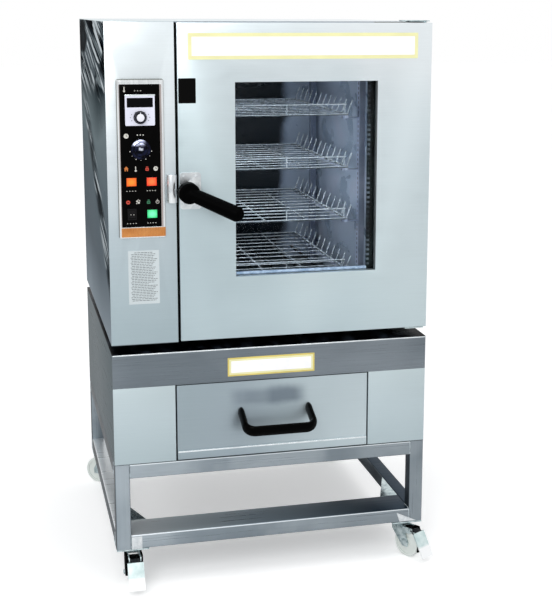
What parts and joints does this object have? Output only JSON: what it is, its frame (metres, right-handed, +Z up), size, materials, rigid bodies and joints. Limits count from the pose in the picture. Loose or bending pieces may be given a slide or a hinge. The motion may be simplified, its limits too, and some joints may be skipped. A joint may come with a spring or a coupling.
{
  "type": "sweet potato roaster",
  "caption": "Insulated oven with a glazed door, wire racks and a control column, on a warming cabinet with a drawer and a tube stand with swivel casters.",
  "frame": {"origin": "on the floor, in the middle of the roaster's outline seen from above", "axes": "+Z up, +X to the right seen from the front, -Y out of the door and the drawer"},
  "size_m": [0.8719, 0.9672, 1.455],
  "materials": {
    "brushed_steel": "brushed",
    "casing_steel": "satin, protective film",
    "side_steel": "mirror, protective film",
    "frame_steel": "brushed",
    "chamber_steel": "satin",
    "wire_chrome": "bright",
    "zinc": "bright zinc",
    "wheel_plastic": "satin",
    "black_plastic": "satin",
    "bezel_champagne": "metallic",
    "controller_white": "satin",
    "dial_chrome": "satin",
    "lens_orange": "lit",
    "lens_red": "lit",
    "lens_green": "lit",
    "glass": "clear",
    "wool": "matte",
    "gasket_silicone": "matte",
    "element_steel": "dark oxide"
  },
  "bodies": {
    "cabinet": {"cable_gland": "black_plastic", "caster_plates": "frame_steel", "chamber_heaters": "element_steel", "chamber_insulation": "wool", "chamber_liner": "chamber_steel", "control_bezel": "bezel_champagne", "control_column": "casing_steel", "control_electrics": "black_plastic", "control_overlay": "black_plastic", "controller_case": "controller_white", "door_hinge_brackets": "zinc", "drawer_runners": "zinc", "lamp_green": "lens_green", "lamp_orange": "lens_orange", "lamp_red": "lens_red", "latch_keeper": "zinc", "oven_back_panel": "side_steel", "oven_base_pan": "side_steel", "oven_left_panel": "side_steel", "oven_right_panel": "side_steel", "oven_top_panel": "side_steel", "rack_uprights": "chamber_steel", "rocker_housing": "black_plastic", "stand_legs": "frame_steel", "stand_rails": "frame_steel", "temperature_probe": "wire_chrome", "timer_body": "black_plastic", "warmer_floor_and_back": "side_steel", "warmer_front_band": "brushed_steel", "warmer_front_fillers": "casing_steel", "warmer_heater": "element_steel", "warmer_hood": "side_steel"},
    "door": {"door_outer_skin": "casing_steel", "door_inner_skin": "chamber_steel", "door_glass_panes": "glass", "door_insulation": "wool", "door_gasket": "gasket_silicone", "latch_base": "zinc"},
    "latch": {"latch_lever": "zinc", "latch_grip": "black_plastic"},
    "drawer": {"drawer_tub": "chamber_steel", "drawer_front": "casing_steel", "drawer_handle": "black_plastic"},
    "temperature_knob": {"temperature_knob": "dial_chrome"},
    "timer_knob": {"timer_knob": "dial_chrome"},
    "rocker": {"rocker_paddle": "black_plastic"},
    "rack_1": {"rack_1": "wire_chrome"},
    "rack_2": {"rack_2": "wire_chrome"},
    "rack_3": {"rack_3": "wire_chrome"},
    "rack_4": {"rack_4": "wire_chrome"},
    "swivel_front_left": {"caster_fork_front_left": "zinc"},
    "wheel_front_left": {"caster_wheel_front_left": "wheel_plastic"},
    "pedal_front_left": {"brake_pedal_front_left": "zinc"},
    "swivel_front_right": {"caster_fork_front_right": "zinc"},
    "wheel_front_right": {"caster_wheel_front_right": "wheel_plastic"},
    "pedal_front_right": {"brake_pedal_front_right": "zinc"},
    "swivel_rear_left": {"caster_fork_rear_left": "zinc"},
    "wheel_rear_left": {"caster_wheel_rear_left": "wheel_plastic"},
    "swivel_rear_right": {"caster_fork_rear_right": "zinc"},
    "wheel_rear_right": {"caster_wheel_rear_right": "wheel_plastic"}
  },
  "joints": [
    {"name": "door_hinge", "type": "hinge", "parent": "cabinet", "child": "door", "pos_m": [0.4, -0.32785, 1.0515], "axis": [0, 0, 1], "range_deg": [0, 165]},
    {"name": "latch_turn", "type": "hinge", "parent": "door", "child": "latch", "pos_m": [-0.221, -0.37165, 1.038], "axis": [0, -1, 0], "range_deg": [0, 55]},
    {"name": "drawer_slide", "type": "slide", "parent": "cabinet", "child": "drawer", "axis": [0, -1, 0], "range_m": [0, 0.45]},
    {"name": "temperature_turn", "type": "hinge", "parent": "cabinet", "child": "temperature_knob", "pos_m": [-0.333, -0.34935, 1.222], "axis": [0, 1, 0], "range_deg": [0, 300]},
    {"name": "timer_turn", "type": "hinge", "parent": "cabinet", "child": "timer_knob", "pos_m": [-0.333, -0.34935, 1.144], "axis": [0, 1, 0], "range_deg": [0, 300]},
    {"name": "switch_rock", "type": "hinge", "parent": "cabinet", "child": "rocker", "pos_m": [-0.357, -0.34835, 0.984], "axis": [1, 0, 0], "range_deg": [0, 16]},
    {"name": "rack_1_slide", "type": "slide", "parent": "cabinet", "child": "rack_1", "axis": [0, -1, 0], "range_m": [0, 0.03]},
    {"name": "rack_2_slide", "type": "slide", "parent": "cabinet", "child": "rack_2", "axis": [0, -1, 0], "range_m": [0, 0.03]},
    {"name": "rack_3_slide", "type": "slide", "parent": "cabinet", "child": "rack_3", "axis": [0, -1, 0], "range_m": [0, 0.03]},
    {"name": "rack_4_slide", "type": "slide", "parent": "cabinet", "child": "rack_4", "axis": [0, -1, 0], "range_m": [0, 0.03]},
    {"name": "swivel_front_left_turn", "type": "hinge", "parent": "cabinet", "child": "swivel_front_left", "pos_m": [-0.37, -0.30135, 0.085], "axis": [0, 0, 1], "continuous": true},
    {"name": "wheel_front_left_roll", "type": "hinge", "parent": "swivel_front_left", "child": "wheel_front_left", "pos_m": [-0.37, -0.33135, 0.04], "axis": [1, 0, 0], "continuous": true},
    {"name": "pedal_front_left_press", "type": "hinge", "parent": "swivel_front_left", "child": "pedal_front_left", "pos_m": [-0.37, -0.35335, 0.08], "axis": [-1, 0, 0], "range_deg": [0, 15]},
    {"name": "swivel_front_right_turn", "type": "hinge", "parent": "cabinet", "child": "swivel_front_right", "pos_m": [0.37, -0.30135, 0.085], "axis": [0, 0, 1], "continuous": true},
    {"name": "wheel_front_right_roll", "type": "hinge", "parent": "swivel_front_right", "child": "wheel_front_right", "pos_m": [0.385, -0.32733, 0.04], "axis": [0.866, 0.5, 0], "continuous": true},
    {"name": "pedal_front_right_press", "type": "hinge", "parent": "swivel_front_right", "child": "pedal_front_right", "pos_m": [0.396, -0.34638, 0.08], "axis": [-0.866, -0.5, 0], "range_deg": [0, 15]},
    {"name": "swivel_rear_left_turn", "type": "hinge", "parent": "cabinet", "child": "swivel_rear_left", "pos_m": [-0.37, 0.40865, 0.085], "axis": [0, 0, 1], "continuous": true},
    {"name": "wheel_rear_left_roll", "type": "hinge", "parent": "swivel_rear_left", "child": "wheel_rear_left", "pos_m": [-0.39457, 0.42586, 0.04], "axis": [-0.5736, -0.8192, 0], "continuous": true},
    {"name": "swivel_rear_right_turn", "type": "hinge", "parent": "cabinet", "child": "swivel_rear_right", "pos_m": [0.37, 0.40865, 0.085], "axis": [0, 0, 1], "continuous": true},
    {"name": "wheel_rear_right_roll", "type": "hinge", "parent": "swivel_rear_right", "child": "wheel_rear_right", "pos_m": [0.37, 0.43865, 0.04], "axis": [-1, 0, 0], "continuous": true}
  ]
}
